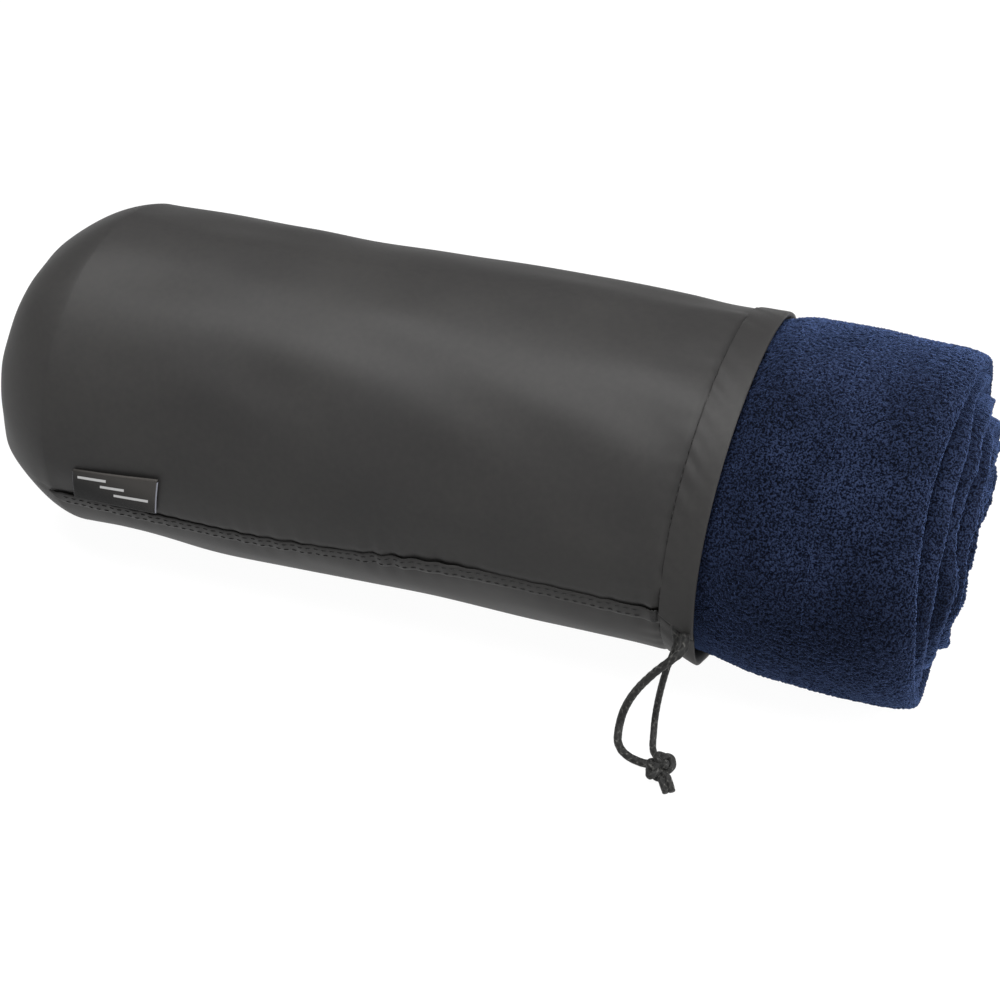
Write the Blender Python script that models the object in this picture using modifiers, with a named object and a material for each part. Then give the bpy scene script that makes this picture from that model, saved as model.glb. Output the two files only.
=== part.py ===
"""A rolled microfibre towel, drawn part of the way out of its drawstring pouch.

Metres, +Z up, +X along the roll towards the pouch's mouth. The roll lies on z = 0, under the origin's
centre, and is settled a little flat there. Angles round the roll are in degrees from -Y, positive upwards.
"""

import math

import bmesh
import bpy
from mathutils import Vector

# Pouch
LENGTH = 0.363  # closed end's seam to towel's end
POUCH_R = 0.065
SAG = 0.003  # how far the roll's weight flattens it
MOUTH_X = 0.103
HEM_WIDTH = 0.0125
SHELL_T = 0.0006
END_ROUND_X = 0.030  # the closed end's shoulder, along the roll
END_ROUND_R = 0.0204  # and across it
END_ROUND_POWER = 1.42  # 2 is a quarter of an ellipse, 1 a bevel
END_SEAM_PROUD = 0.003
END_SEAM_SHORT = 0.013  # how far the seam stops short of the pouch's side
END_SEAM_T = 0.0008
END_SEAM_GAP = 0.0006
END_SEAM_ANGLE = -19.3

# Side seam and threads
SEAM_ANGLE_END = -19.3
SEAM_ANGLE_MOUTH = -10.8
SEAM_TURN_FROM = -0.080  # the seam climbs between these two places
SEAM_TURN_TO = 0.030
LAP_WIDTH = 0.0065
LAP_T = 0.0005
THREAD_D = 0.0006
STITCH_PLACES = {"upper": 0.25, "lower": 0.72}  # shares of the lap's width
TACK_BACK = 0.0045
TACK_LENGTH = 0.0068
TACK_D = 0.0010
STITCH_TO_TACK = 0.0025

# Drawcord and its channel
CORD_D = 0.0024
CORD_PLAY = 0.0002
CHANNEL_WALL = 0.0005
CHANNEL_PROUD = 0.0012
CHANNEL_END_UPPER = -11.0
CHANNEL_END_LOWER = -21.5

# Towel
PLIES_T = 0.0064  # three plies, folded flat
PLY_GAP = 0.0006  # air between one wrap and the next
CORE_R = 0.0075
TOWEL_PLAY = 0.0009
TOWEL_FLARE = 0.005  # how far the free end springs open
FLARE_RUN = 0.026
TOWEL_END_GAP = 0.022
END_SOFTEN = 0.012
END_SOFTEN_R = 0.003
END_LEAN = 0.0008  # how far the softened ends' slanting walls reach past their middle
LAP_EDGE_ANGLE = 165.0  # where the outer end of the towel lies
EASE_CORE = 1.0
EASE_OUTER = 0.22
HEM_EDGE_WIDTH = 0.005
EDGE_TIP = 0.002  # the last short stretch of the roll, square to its hem
SEGMENTS_A_TURN = 24

# Label
LABEL_SET_IN = 0.0339  # closed end to the label's near side
LABEL_WIDTH = 0.0365
LABEL_HEIGHT = 0.0190
LABEL_T = 0.0008
LABEL_GAP = 0.0006

# Knot
KNOT_CENTRE = (0.1006, -0.0912, 0.0042)
KNOT_SIZE = (0.0118, 0.0110, 0.0086)

CLEAR = 0.0003  # left between pieces that touch
MERGE = 0.00001
AROUND = 48
THREAD_SIDES = 1  # bevel resolution of a thread
CORD_SIDES = 2
CORD_STEP = 0.0032
SHOULDER_STEPS = 12
SHELL_STEPS = 4
SEAM_STEPS = 26
TACK_STEPS = 6
CHANNEL_ARC_STEPS = 4

# The cord's free ends, from the channel's slit down the roll's front and along the table to the knot
RIGHT_TAIL_ROUTE = (
    (0.0934, -0.0632, 0.0490),
    (0.0940, -0.0629, 0.0449),
    (0.0949, -0.0629, 0.0406),
    (0.0955, -0.0636, 0.0372),
    (0.0952, -0.0648, 0.0341),
    (0.0945, -0.0663, 0.0311),
    (0.0936, -0.0674, 0.0274),
    (0.0926, -0.0689, 0.0206),
    (0.0917, -0.0697, 0.0127),
    (0.0915, -0.0717, 0.0059),
    (0.0925, -0.0764, 0.0036),
    (0.0934, -0.0803, 0.0016),
    (0.0946, -0.0834, 0.0014),
    (0.0960, -0.0855, 0.0018),
    (0.0974, -0.0871, 0.0025),
)
LEFT_TAIL_ROUTE = (
    (0.0975, -0.0600, 0.0388),
    (0.0976, -0.0609, 0.0405),
    (0.0983, -0.0627, 0.0414),
    (0.0992, -0.0652, 0.0409),
    (0.0996, -0.0680, 0.0397),
    (0.0986, -0.0702, 0.0386),
    (0.0967, -0.0717, 0.0369),
    (0.0943, -0.0727, 0.0343),
    (0.0914, -0.0732, 0.0307),
    (0.0883, -0.0734, 0.0261),
    (0.0852, -0.0734, 0.0208),
    (0.0824, -0.0738, 0.0149),
    (0.0805, -0.0750, 0.0092),
    (0.0799, -0.0770, 0.0049),
    (0.0802, -0.0799, 0.0025),
    (0.0812, -0.0831, 0.0015),
    (0.0838, -0.0866, 0.0013),
    (0.0874, -0.0889, 0.0013),
    (0.0914, -0.0902, 0.0016),
    (0.0936, -0.0907, 0.0020),
    (0.0953, -0.0909, 0.0025),
)
STUB_ROUTES = {
    "left": ((0.1010, -0.0963, 0.0025), (0.1020, -0.0989, 0.0017), (0.1027, -0.1018, 0.0013)),
    "right": ((0.1039, -0.0952, 0.0025), (0.1053, -0.0975, 0.0017), (0.1063, -0.1003, 0.0013)),
}

AXIS_Z = POUCH_R - SAG
END_SEAM_REACH = POUCH_R - END_SEAM_SHORT
CLOSED_X = -LENGTH / 2 + END_SEAM_PROUD
HEM_X = MOUTH_X - HEM_WIDTH
THREAD_ROOM = THREAD_D / 2 + CLEAR
CHANNEL_R = POUCH_R + CHANNEL_PROUD
CHANNEL_T = CORD_D + 2 * (CORD_PLAY + CHANNEL_WALL)
RUN_R = CHANNEL_R - CHANNEL_T / 2
RUN_X_UPPER = RIGHT_TAIL_ROUTE[0][0]
RUN_X_LOWER = LEFT_TAIL_ROUTE[0][0]
WRAP_PITCH = PLIES_T + PLY_GAP
TOWEL_R = CHANNEL_R - CHANNEL_T - TOWEL_PLAY
TOWEL_X = CLOSED_X + TOWEL_END_GAP
LABEL_X = CLOSED_X + LABEL_SET_IN
LAP_R = POUCH_R + CLEAR + LAP_T
THREAD_R = LAP_R + CLEAR + THREAD_D / 2


def clear_scene():
    for obj in list(bpy.data.objects):
        bpy.data.objects.remove(obj, do_unlink=True)


def smoothstep(value, low=0.0, high=1.0):
    share = min(max((value - low) / (high - low), 0.0), 1.0)
    return share * share * (3 - 2 * share)


def on_roll(x, radius, angle, sole):
    """The point at this radius and angle, kept off the table by its depth under the radius that rests on it."""
    turn = math.radians(angle)
    z = max(AXIS_Z + radius * math.sin(turn), sole - radius, 0.0)
    return Vector((x, -radius * math.cos(turn), z))


def degrees_along(length, radius):
    return math.degrees(length / radius)


def make_material(name, colour, roughness):
    material = bpy.data.materials.new(name)
    material.use_nodes = True
    shader = material.node_tree.nodes["Principled BSDF"]
    shader.inputs["Base Color"].default_value = (*colour, 1)
    shader.inputs["Roughness"].default_value = roughness
    shader.inputs["Metallic"].default_value = 0.0
    return material


def add_object(name, data, material):
    obj = bpy.data.objects.new(name, data)
    obj.data.materials.append(material)
    PARTS.objects.link(obj)
    return obj


def add_solidify(obj, thickness):
    wall = obj.modifiers.new("wall", "SOLIDIFY")
    wall.thickness = thickness
    wall.offset = 0
    wall.use_even_offset = True


def add_sheet(name, segments, place, thickness, material):
    """A grid whose point (u, v), each from 0 to 1, goes to place(u, v), thickened both ways."""
    mesh = bpy.data.meshes.new(name)
    grid = bmesh.new()
    bmesh.ops.create_grid(grid, x_segments=segments[0], y_segments=segments[1], size=0.5)
    for vert in grid.verts:
        vert.co = place(vert.co.x + 0.5, vert.co.y + 0.5)
    bmesh.ops.recalc_face_normals(grid, faces=grid.faces)
    grid.to_mesh(mesh)
    grid.free()
    obj = add_object(name, mesh, material)
    add_solidify(obj, thickness)
    mesh.shade_smooth()
    return obj


def turned_surface(profile, closed, sweep, start, steps):
    """The mesh that a profile of (x, radius) points sweeps round the roll's axis."""
    mesh = bpy.data.meshes.new("profile")
    edges = [(i, i + 1) for i in range(len(profile) - 1)]
    if closed:
        edges.append((len(profile) - 1, 0))
    mesh.from_pydata([(x, -radius, 0) for x, radius in profile], edges, [])
    guide = bpy.data.objects.new("guide", mesh)
    bpy.context.scene.collection.objects.link(guide)
    guide.location.z = AXIS_Z
    guide.rotation_euler.x = -math.radians(start)
    screw = guide.modifiers.new("turn", "SCREW")
    screw.axis = "X"
    screw.angle = -math.radians(sweep)
    screw.steps = steps
    screw.render_steps = steps
    screw.use_merge_vertices = True
    screw.merge_threshold = MERGE
    bpy.context.view_layer.update()
    turned = bpy.data.meshes.new_from_object(guide.evaluated_get(bpy.context.evaluated_depsgraph_get()))
    turned.transform(guide.matrix_world)
    bpy.data.objects.remove(guide, do_unlink=True)
    bpy.data.meshes.remove(mesh)
    return turned


def settle(mesh, sole):
    """Flattens a turned mesh onto the table, each layer by its own depth."""
    for vert in mesh.vertices:
        radius = math.hypot(vert.co.y, vert.co.z - AXIS_Z)
        vert.co.z = max(vert.co.z, sole - radius, 0.0)


def add_turned(name, profile, material, thickness, sole, closed=False, sweep=360.0, start=0.0, steps=AROUND):
    mesh = turned_surface(profile, closed, sweep, start, steps)
    settle(mesh, sole)
    mesh.name = name
    obj = add_object(name, mesh, material)
    add_solidify(obj, thickness)
    mesh.shade_smooth()
    return obj


def add_tube(name, points, diameter, material, sides, cyclic=False):
    curve = bpy.data.curves.new(name, "CURVE")
    curve.dimensions = "3D"
    curve.bevel_depth = diameter / 2
    curve.bevel_resolution = sides
    curve.use_fill_caps = not cyclic
    spline = curve.splines.new("POLY")
    spline.points.add(len(points) - 1)
    for point, place in zip(spline.points, points):
        point.co = (*place, 1)
    spline.use_cyclic_u = cyclic
    return add_object(name, curve, material)


def smooth_path(route, step):
    """Points about one step apart on the Catmull-Rom curve through the route's points."""
    stops = [Vector(place) for place in route]
    stops = [2 * stops[0] - stops[1], *stops, 2 * stops[-1] - stops[-2]]
    path = [stops[1]]
    for before, start, end, after in zip(stops, stops[1:], stops[2:], stops[3:]):
        count = max(1, round((end - start).length / step))
        for i in range(1, count + 1):
            t = i / count
            path.append(
                0.5 * (2 * start + (end - before) * t + (2 * before - 5 * start + 4 * end - after) * t**2
                       + (3 * start - before - 3 * end + after) * t**3)
            )
    return path


def end_x(radius):
    """Where the closed end's outside is at this radius: flat, with a soft shoulder."""
    flat = POUCH_R - END_ROUND_R
    share = min(max((radius - flat) / END_ROUND_R, 0.0), 1.0)
    return CLOSED_X + END_ROUND_X * (1 - (1 - share**END_ROUND_POWER) ** (1 / END_ROUND_POWER))


def make_pouch_shell():
    middle = POUCH_R - SHELL_T / 2
    shoulder = [middle * i / SHOULDER_STEPS for i in range(SHOULDER_STEPS + 1)]
    profile = [(end_x(radius) + SHELL_T / 2, radius) for radius in shoulder]
    run = HEM_X - THREAD_ROOM - profile[-1][0]
    profile += [(profile[-1][0] + run * (i + 1) / SHELL_STEPS, middle) for i in range(SHELL_STEPS)]
    add_turned("pouch_shell", profile, FABRIC, SHELL_T, POUCH_R)


def make_end_seam():
    lean = math.radians(END_SEAM_ANGLE)

    def place(u, v):
        reach = END_SEAM_REACH * (2 * u - 1)
        x = end_x(abs(reach)) - END_SEAM_GAP - v * (END_SEAM_PROUD - END_SEAM_GAP)
        return Vector((x, -reach * math.cos(lean), AXIS_Z + reach * math.sin(lean)))

    add_sheet("end_seam", (24, 2), place, END_SEAM_T, FABRIC)


def seam_angle(x):
    climb = smoothstep(x, SEAM_TURN_FROM, SEAM_TURN_TO)
    return SEAM_ANGLE_END + (SEAM_ANGLE_MOUTH - SEAM_ANGLE_END) * climb


def make_side_seam():
    low_x = CLOSED_X + END_ROUND_X
    high_x = HEM_X - THREAD_ROOM

    def place(u, v):
        x = low_x + u * (high_x - low_x)
        angle = seam_angle(x) - degrees_along(v * LAP_WIDTH, POUCH_R)
        return on_roll(x, LAP_R - LAP_T / 2, angle, LAP_R)

    add_sheet("side_seam_lap", (SEAM_STEPS, 4), place, LAP_T, FABRIC)
    for name, share in STITCH_PLACES.items():
        points = []
        for i in range(SEAM_STEPS + 1):
            x = low_x + CLEAR + i / SEAM_STEPS * (HEM_X - TACK_BACK - STITCH_TO_TACK - low_x)
            angle = seam_angle(x) - degrees_along(share * LAP_WIDTH, POUCH_R)
            points.append(on_roll(x, THREAD_R, angle, THREAD_R))
        add_tube(f"side_seam_stitch_{name}", points, THREAD_D, THREAD, THREAD_SIDES)


def make_exit_tack():
    x = HEM_X - TACK_BACK
    radius = LAP_R + CLEAR + TACK_D / 2
    top = seam_angle(x) + degrees_along((TACK_LENGTH - LAP_WIDTH) / 2, POUCH_R)
    turn = degrees_along(TACK_LENGTH, POUCH_R)
    points = [on_roll(x, radius, top - turn * i / TACK_STEPS, radius) for i in range(TACK_STEPS + 1)]
    add_tube("exit_bar_tack", points, TACK_D, THREAD, THREAD_SIDES)


def make_mouth_channel():
    """A flat hollow tube round the mouth, open at both ends beside the slit where the cord comes out."""
    low_x = HEM_X + THREAD_ROOM
    half = (CHANNEL_T - CHANNEL_WALL) / 2
    left = low_x + CHANNEL_T / 2
    right = MOUTH_X - CHANNEL_T / 2
    profile = []
    for centre, first in ((right, -90), (left, 90)):
        for i in range(CHANNEL_ARC_STEPS + 1):
            turn = math.radians(first + 180 * i / CHANNEL_ARC_STEPS)
            profile.append((centre + half * math.cos(turn), RUN_R + half * math.sin(turn)))
    sweep = 360 - (CHANNEL_END_UPPER - CHANNEL_END_LOWER)
    add_turned("mouth_channel", profile, FABRIC, CHANNEL_WALL, CHANNEL_R, True, sweep, CHANNEL_END_UPPER)


def make_mouth_stitch():
    radius = POUCH_R - THREAD_D
    points = [on_roll(HEM_X, radius, 360 * i / AROUND, POUCH_R) for i in range(AROUND)]
    add_tube("mouth_stitch", points, THREAD_D, THREAD, THREAD_SIDES, cyclic=True)


def make_cord_run():
    """The cord inside the channel, from the upper end of the slit over the top and round to the lower end."""
    sweep = 360 - (CHANNEL_END_UPPER - CHANNEL_END_LOWER)
    points = []
    for i in range(AROUND + 1):
        share = i / AROUND
        x = RUN_X_UPPER + share * (RUN_X_LOWER - RUN_X_UPPER)
        points.append(on_roll(x, RUN_R, CHANNEL_END_UPPER + sweep * share, CHANNEL_R))
    add_tube("drawcord_run", points, CORD_D, CORD, CORD_SIDES)


def make_cord_tails():
    for name, route in (("right", RIGHT_TAIL_ROUTE), ("left", LEFT_TAIL_ROUTE)):
        add_tube(f"drawcord_tail_{name}", smooth_path(route, CORD_STEP), CORD_D, CORD, CORD_SIDES)


def make_knot():
    mesh = bpy.data.meshes.new("drawcord_knot")
    lump = bmesh.new()
    bmesh.ops.create_cube(lump, size=1)
    for vert in lump.verts:
        vert.co = Vector(KNOT_CENTRE) + vert.co * Vector(KNOT_SIZE)
    lump.to_mesh(mesh)
    lump.free()
    obj = add_object("drawcord_knot", mesh, CORD)
    soft = obj.modifiers.new("soft", "SUBSURF")
    soft.levels = 3
    soft.render_levels = 3
    mesh.shade_smooth()
    for name, route in STUB_ROUTES.items():
        add_tube(f"drawcord_stub_{name}", smooth_path(route, CORD_D), CORD_D, CORD, CORD_SIDES)


def wrap_radius(turns, count):
    """The outside of the spiral after this many turns: round, with one step up in each turn that the core spreads."""
    whole = min(int(turns), count - 1)
    ease = EASE_CORE + (EASE_OUTER - EASE_CORE) * whole / (count - 1)
    return TOWEL_R - WRAP_PITCH * (count - whole - smoothstep(turns - whole, 0, ease))


def towel_swell(x):
    """How far the towel stands out of its size in the pouch: sprung open past the mouth, soft at both ends."""
    flare = TOWEL_FLARE * smoothstep(x, MOUTH_X, MOUTH_X + FLARE_RUN)
    near = smoothstep(x, TOWEL_X, TOWEL_X + END_SOFTEN)
    far = smoothstep(x, LENGTH / 2, LENGTH / 2 - END_SOFTEN)
    return flare - END_SOFTEN_R * (2 - near - far)


def towel_point(x, turns, count, depth):
    radius = wrap_radius(turns, count) * (1 + towel_swell(x) / TOWEL_R) - depth
    return on_roll(x, radius, LAP_EDGE_ANGLE - 360 * (count - turns), CHANNEL_R)


def make_towel():
    count = int((TOWEL_R - CORE_R) / WRAP_PITCH) + 1
    end = LENGTH / 2 - END_LEAN
    stations = (
        TOWEL_X, TOWEL_X + END_SOFTEN / 2, TOWEL_X + END_SOFTEN, MOUTH_X, MOUTH_X + FLARE_RUN / 3,
        MOUTH_X + FLARE_RUN, end - END_SOFTEN, end - END_SOFTEN / 2, end,
    )
    edge = degrees_along(HEM_EDGE_WIDTH, TOWEL_R) / 360
    tip = degrees_along(EDGE_TIP, TOWEL_R) / 360
    first = (CORE_R - wrap_radius(0, count)) / WRAP_PITCH
    segments = SEGMENTS_A_TURN * count

    def roll_place(u, v):
        step = round(u * segments)
        whole = count - edge - tip - first
        turns = first + whole * step / (segments - 1) if step < segments else count - edge
        return towel_point(stations[round(v * (len(stations) - 1))], turns, count, PLIES_T / 2)

    def hem_place(u, v):
        turns = count - edge * (1 - u) + degrees_along(CLEAR, TOWEL_R) / 360
        return towel_point(stations[round(v * (len(stations) - 1))], turns, count, PLIES_T / 2)

    add_sheet("towel_roll", (segments, len(stations) - 1), roll_place, PLIES_T, PILE)
    add_sheet("towel_hem", (3, len(stations) - 1), hem_place, PLIES_T, PILE)


def make_label():
    """A folded label whose lower edge is caught in the side seam. It turns about that edge."""
    radius = POUCH_R + CLEAR + LABEL_T / 2
    root = seam_angle(LABEL_X) + degrees_along(LABEL_GAP, POUCH_R)
    hinge = on_roll(LABEL_X + LABEL_WIDTH / 2, radius, root, radius)

    def place(u, v):
        angle = root + degrees_along(v * LABEL_HEIGHT, radius)
        return on_roll(LABEL_X + u * LABEL_WIDTH, radius, angle, radius) - hinge

    add_sheet("side_label", (2, 6), place, LABEL_T, SATIN).location = hinge


clear_scene()
PARTS = bpy.data.collections.new("quick_dry_towel")
bpy.context.scene.collection.children.link(PARTS)
FABRIC = make_material("pouch_fabric", (0.075, 0.075, 0.078), 0.5)
THREAD = make_material("thread", (0.03, 0.03, 0.032), 0.6)
CORD = make_material("cord", (0.04, 0.04, 0.04), 0.7)
SATIN = make_material("label_satin", (0.02, 0.02, 0.022), 0.25)
PILE = make_material("towel_pile", (0.07, 0.11, 0.23), 0.95)

make_pouch_shell()
make_end_seam()
make_side_seam()
make_exit_tack()
make_mouth_channel()
make_mouth_stitch()
make_cord_run()
make_cord_tails()
make_knot()
make_towel()
make_label()
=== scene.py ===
"""The finished looks of a rolled plush towel, drawn part of the way out of its drawstring pouch.

Metres, +Z up, +X along the roll towards the pouch's mouth. An angle round the roll is measured at its axis
from -Y, positive upwards. Every shape is worked out as whole arrays on a grid of two parameters.
"""

import math

import bpy
import numpy as np
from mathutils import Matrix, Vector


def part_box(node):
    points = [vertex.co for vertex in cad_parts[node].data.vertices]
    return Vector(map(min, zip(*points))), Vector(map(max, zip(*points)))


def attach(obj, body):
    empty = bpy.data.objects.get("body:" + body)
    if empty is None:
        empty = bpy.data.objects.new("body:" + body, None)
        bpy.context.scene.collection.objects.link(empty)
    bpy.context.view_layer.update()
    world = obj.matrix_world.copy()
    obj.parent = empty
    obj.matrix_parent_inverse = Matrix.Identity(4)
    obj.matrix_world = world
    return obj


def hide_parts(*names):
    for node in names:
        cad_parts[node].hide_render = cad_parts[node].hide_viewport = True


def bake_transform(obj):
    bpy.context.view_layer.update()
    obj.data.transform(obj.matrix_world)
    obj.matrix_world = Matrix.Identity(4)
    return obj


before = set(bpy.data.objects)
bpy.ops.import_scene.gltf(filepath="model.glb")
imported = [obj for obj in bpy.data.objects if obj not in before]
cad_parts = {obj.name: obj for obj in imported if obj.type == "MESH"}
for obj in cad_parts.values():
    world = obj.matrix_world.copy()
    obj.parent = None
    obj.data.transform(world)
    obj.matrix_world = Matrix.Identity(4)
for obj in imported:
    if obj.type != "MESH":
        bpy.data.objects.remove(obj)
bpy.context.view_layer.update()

# Places taken from the frame
SHELL_LOW, SHELL_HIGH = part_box("pouch_shell")
ROLL_LOW, ROLL_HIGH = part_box("towel_roll")
LABEL_LOW, LABEL_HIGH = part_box("side_label")
POUCH_R = (SHELL_HIGH.y - SHELL_LOW.y) / 2
AXIS_Z = SHELL_HIGH.z - POUCH_R
CLOSED_X = SHELL_LOW.x
HEM_X = SHELL_HIGH.x + 0.0006
MOUTH_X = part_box("mouth_channel")[1].x

# Pouch
END_ROUND_X = 0.0300
END_ROUND_R = 0.0204
END_ROUND_POWER = 1.42
END_TILT = 0.0056  # how far the closed end leans out at its lower front
END_TILT_ANGLE = math.radians(-20)
DISC_SHARE = 0.16  # where the closed end's flat disc ends, as a share of the pouch's profile
TURN_SHARE = 0.30  # where its rounding ends
FABRIC_T = 0.0008
SEAM_ANGLE_END = math.radians(-19.3)
SEAM_ANGLE_MOUTH = math.radians(-10.8)
SEAM_TURN_FROM = -0.080
SEAM_TURN_TO = 0.030
LAP_WIDTH = 0.0068
LAP_START = CLOSED_X + 0.0277
LAP_SLANT = 0.0047
PUCKER_STEP = 0.0005
HEM_UPPER_END = (math.radians(-10.9), math.radians(-20.8))  # at the stitch and at the edge
HEM_LOWER_END = (math.radians(-12.3), math.radians(-22.8))
HEM_REST_R = POUCH_R + 0.0012  # the hem lies on the table at this radius
CHANNEL_DEPTH = 0.0018  # from the hem's outside to the middle of the cord in it
STITCH = 0.0026
STITCH_GAP = 0.0007
THREAD_D = 0.00036

# Towel
PLY_T = 0.0017
PLY_DEPTHS = (0.00205, 0.00395, 0.00585)
WRAP_PITCH = 0.0070
CORE_R = 0.0075
TOWEL_R = 0.0615
TOWEL_REST_R = TOWEL_R + 0.0047  # sprung open past the mouth, it lies on the table at this radius
WRAPS = int((TOWEL_R - CORE_R) / WRAP_PITCH) + 1
TOWEL_BACK_X = ROLL_LOW.x + 0.009
OUTER_TIP_X = ROLL_HIGH.x - 0.0018
CORNER_X = 0.0165
CORNER_R = 0.0033
LAP_EDGE_ANGLE = math.radians(165)
TOWEL_CUT = (1.0, 1.8)
PILE_STEP = 0.00055

# Cord
CORD_D = 0.0024
LEFT_TAIL_D = 0.0031  # it lies a little flattened
RIGHT_TAIL_D = 0.0026
KNOT_D = 0.0027
CORD_STEP = 0.00028  # between a cord's rings
RIGHT_TAIL_ROUTE = (
    (0.0934, -0.0632, 0.0490), (0.0940, -0.0629, 0.0449), (0.0949, -0.0629, 0.0406),
    (0.0955, -0.0636, 0.0372), (0.0952, -0.0648, 0.0341), (0.0945, -0.0663, 0.0311),
    (0.0936, -0.0674, 0.0274), (0.0926, -0.0689, 0.0206), (0.0917, -0.0697, 0.0127),
    (0.0915, -0.0717, 0.0059), (0.0925, -0.0764, 0.0036), (0.0934, -0.0803, 0.0016),
    (0.0946, -0.0834, 0.0014), (0.0960, -0.0855, 0.0018), (0.0974, -0.0871, 0.0025),
)
LEFT_TAIL_ROUTE = (
    (0.0975, -0.0600, 0.0388), (0.0976, -0.0609, 0.0405), (0.0983, -0.0627, 0.0414),
    (0.0992, -0.0652, 0.0409), (0.0996, -0.0680, 0.0397), (0.0986, -0.0702, 0.0386),
    (0.0967, -0.0717, 0.0369), (0.0943, -0.0727, 0.0343), (0.0914, -0.0732, 0.0307),
    (0.0883, -0.0734, 0.0261), (0.0852, -0.0734, 0.0208), (0.0824, -0.0738, 0.0149),
    (0.0805, -0.0750, 0.0092), (0.0799, -0.0770, 0.0049), (0.0802, -0.0799, 0.0025),
    (0.0812, -0.0831, 0.0015), (0.0838, -0.0866, 0.0013), (0.0874, -0.0889, 0.0013),
    (0.0914, -0.0902, 0.0016), (0.0936, -0.0907, 0.0020), (0.0953, -0.0909, 0.0025),
)
STUB_ROUTES = {
    "left": ((0.1010, -0.0963, 0.0025), (0.1027, -0.0988, 0.0018), (0.1043, -0.1012, 0.0014)),
    "right": ((0.1031, -0.0955, 0.0032), (0.1048, -0.0978, 0.0022), (0.1062, -0.1001, 0.0014)),
}

# Label
LABEL_TALL = 0.0185
LABEL_BEND = (0.0010, 0.0060)  # two heights above the seam, given with the label's body as a bend's start and end; no bend is made from them
# Each bar on the label: where it starts and ends along the seam, and its height
LABEL_BARS = ((0.0022, 0.0148, 0.0150), (0.0122, 0.0228, 0.0112), (0.0182, 0.0335, 0.0070))

# Camera
CAMERA_TARGET = (0.0065, 0.0, 0.031515)
CAMERA_AZIMUTH = math.radians(19.57)
CAMERA_ELEVATION = math.radians(38)
CAMERA_DISTANCE = 0.8299
CAMERA_LENS = 76.58


# ------------ numbers on grids

def smoothstep(value, low=0.0, high=1.0):
    """0 below low, 1 above high, and 3t^2 - 2t^3 between them."""
    share = np.clip((np.asarray(value, float) - low) / (high - low), 0, 1)
    return share * share * (3 - 2 * share)


def bell(value, width):
    """1 at zero, falling away on both sides as a Gaussian of this width."""
    return np.exp(-(np.asarray(value, float) / width) ** 2)


def turn_round(count):
    """This many even angles round a circle."""
    return np.linspace(0, 2 * math.pi, count, endpoint=False)


def filtered_noise(shape, steps, waves, seed, keep):
    """Noise that joins up at the grid's edges, with a mean of 0 and a deviation of 1.

    shape is (rows, columns), steps the spacing each way, and waves the wavelength each way. White noise is
    multiplied by keep(r), where r is how many of its waves fit in these two lengths.
    """
    noise = np.random.default_rng(seed).standard_normal(shape)
    down = np.fft.fftfreq(shape[0], steps[0])[:, None] * waves[0]
    across = np.fft.fftfreq(shape[1], steps[1])[None, :] * waves[1]
    field = np.fft.ifft2(np.fft.fft2(noise) * keep(np.hypot(down, across))).real
    return (field - field.mean()) / field.std()


def grain(shape, steps, waves, seed, spread=0.35):
    """Noise with only the waves near these two lengths kept."""
    return filtered_noise(shape, steps, waves, seed, lambda r: bell(r - 1, spread))


def swell(shape, steps, waves, seed):
    """Noise with every wave longer than these kept, for slow changes."""
    return filtered_noise(shape, steps, waves, seed, lambda r: bell(r, 1))


def grid_normals(points, closed=False):
    """Unit normals of a grid of points: the cross product of its two directions of travel.

    A closed grid's last column is next to its first.
    """
    across = np.roll(points, -1, 1) - np.roll(points, 1, 1) if closed else np.gradient(points, axis=1)
    normal = np.cross(np.gradient(points, axis=0), across)
    return normal / np.maximum(np.linalg.norm(normal, axis=-1, keepdims=True), 1e-12)


def round_roll(x, radius, angle, rest=POUCH_R):
    """Points at this radius and angle round the axis, eased up off the table, on which radius rest lies."""
    z = AXIS_Z + radius * np.sin(angle)
    floor = np.maximum(rest - radius, 0) + 0.0002
    ease = 0.0006
    z = floor + ease * np.logaddexp(0, (z - floor) / ease)
    x, y, z = np.broadcast_arrays(x, -radius * np.cos(angle), z)
    return np.stack([x, y, z], axis=-1)


def from_axis(points):
    """Unit vectors away from the roll's axis."""
    away = points * (0, 1, 1) - (0, 0, AXIS_Z)
    return away / np.linalg.norm(away, axis=-1, keepdims=True)


def smooth_path(route, step):
    """Points about one step apart on the Catmull-Rom curve through the route's points."""
    stops = np.array(route, float)
    stops = np.vstack([2 * stops[0] - stops[1], stops, 2 * stops[-1] - stops[-2]])
    path = [stops[1:2]]
    for before, start, end, after in zip(stops, stops[1:], stops[2:], stops[3:]):
        count = max(1, round(float(np.linalg.norm(end - start)) / step))
        t = (np.arange(1, count + 1) / count)[:, None]
        path.append(
            0.5 * (2 * start + (end - before) * t + (2 * before - 5 * start + 4 * end - after) * t**2
                   + (3 * start - before - 3 * end + after) * t**3)
        )
    return np.vstack(path)


def lengths_along(path):
    """How far along the path each of its points is."""
    return np.concatenate([[0], np.cumsum(np.linalg.norm(np.diff(path, axis=0), axis=1))])


def resample(path, count):
    """The path with this many points, evenly spaced along it."""
    along = lengths_along(path)
    even = np.linspace(0, along[-1], count)
    return np.stack([np.interp(even, along, path[:, i]) for i in range(3)], axis=1)


def side_frames(path):
    """Two unit vectors square to the path at each point, carried along it without twisting."""
    ahead = np.gradient(path, axis=0)
    ahead /= np.linalg.norm(ahead, axis=1, keepdims=True)
    side = np.empty_like(path)
    side[0] = np.cross(ahead[0], (0, 0, 1) if abs(ahead[0, 2]) < 0.9 else (1, 0, 0))
    for i in range(1, len(path)):
        side[i] = side[i - 1] - ahead[i] * (side[i - 1] @ ahead[i])
        side[i] /= np.linalg.norm(side[i])
    side[0] /= np.linalg.norm(side[0])
    return side, np.cross(ahead, side)


# ------------ meshes

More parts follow.
